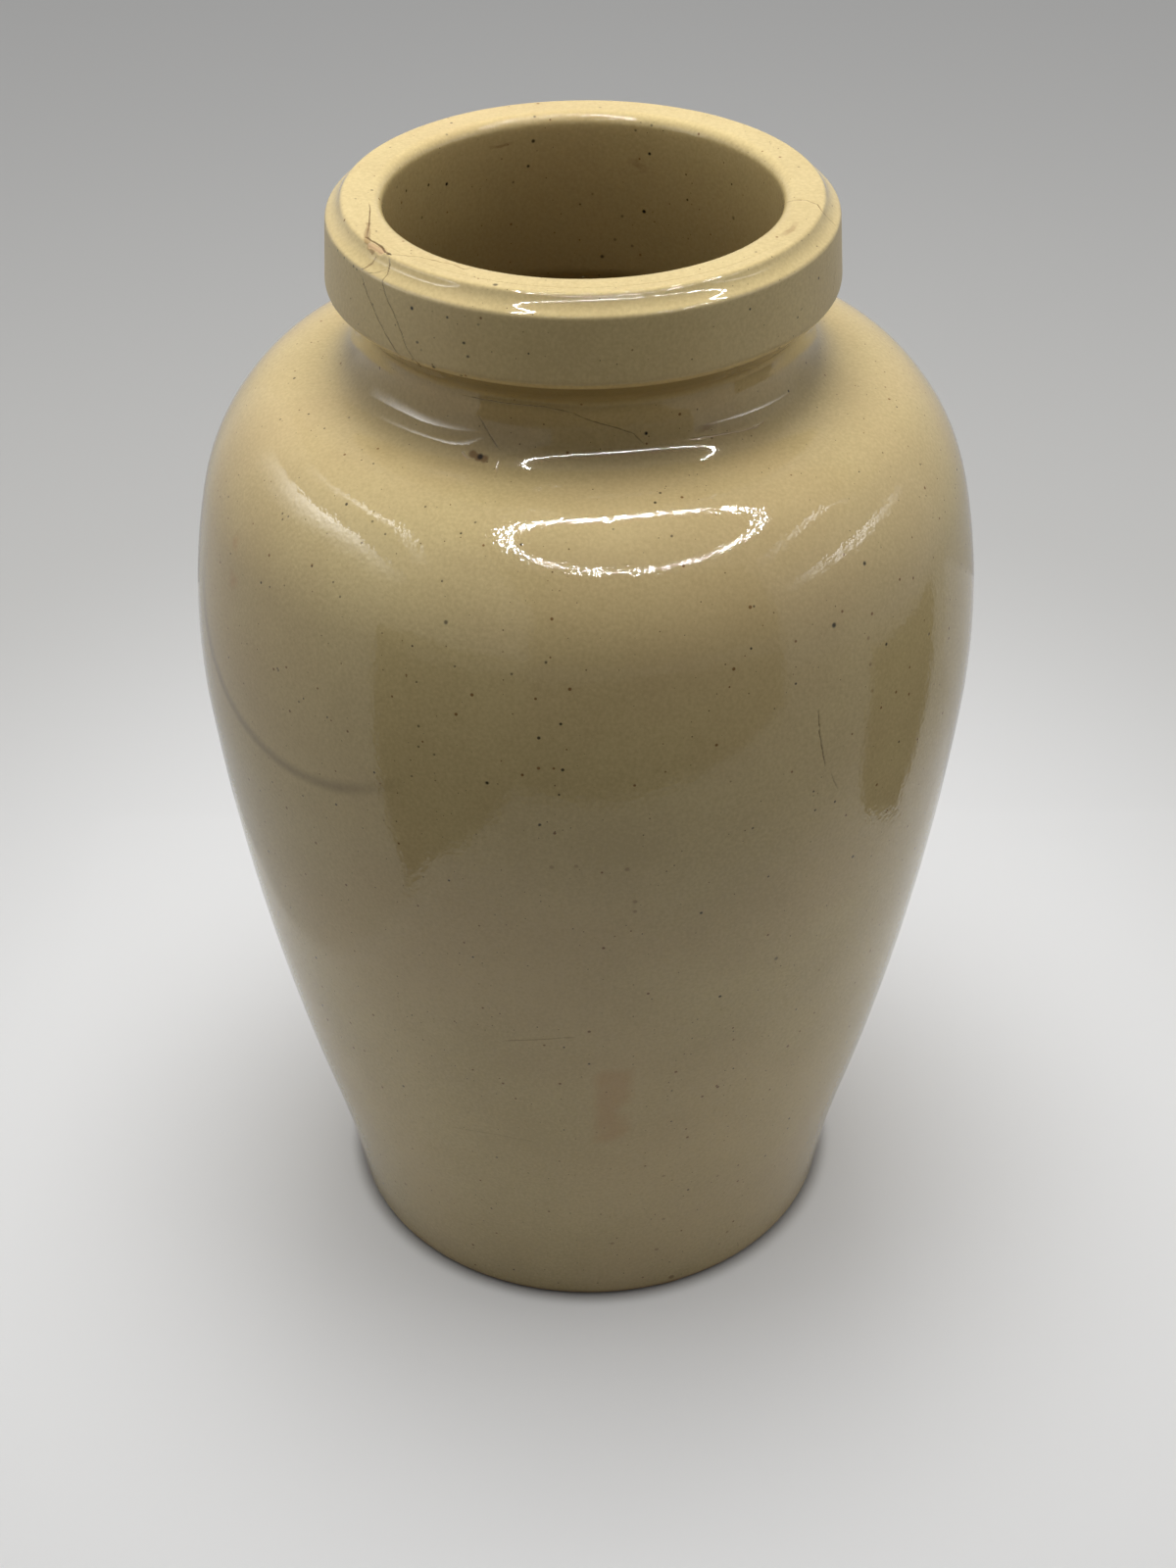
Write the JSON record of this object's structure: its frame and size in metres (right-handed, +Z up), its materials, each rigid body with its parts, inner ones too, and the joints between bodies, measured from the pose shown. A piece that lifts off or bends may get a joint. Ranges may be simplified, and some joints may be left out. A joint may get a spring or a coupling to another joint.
{
  "type": "stoneware cream pot",
  "caption": "Open stoneware cream pot: bellied thrown body on a small flat foot, short neck and heavy tie-down collar round a clear mouth, glazed inside and outside.",
  "frame": {"origin": "centre of the flat standing face, on the surface that the pot stands on", "axes": "+Z up along the pot's turning axis; X and Y are any two level directions, because the pot is round"},
  "size_m": [0.0928, 0.0928, 0.1398],
  "materials": {
    "fired_clay": "bare fired stoneware, matt",
    "outside_glaze": "glossy warm buff feldspathic glaze with iron specks",
    "inside_glaze": "glossy warm buff feldspathic glaze, thinner than outside"
  },
  "bodies": {
    "root": {"stoneware_body": "fired_clay", "outer_glaze": "outside_glaze", "inner_glaze": "inside_glaze"}
  },
  "joints": []
}
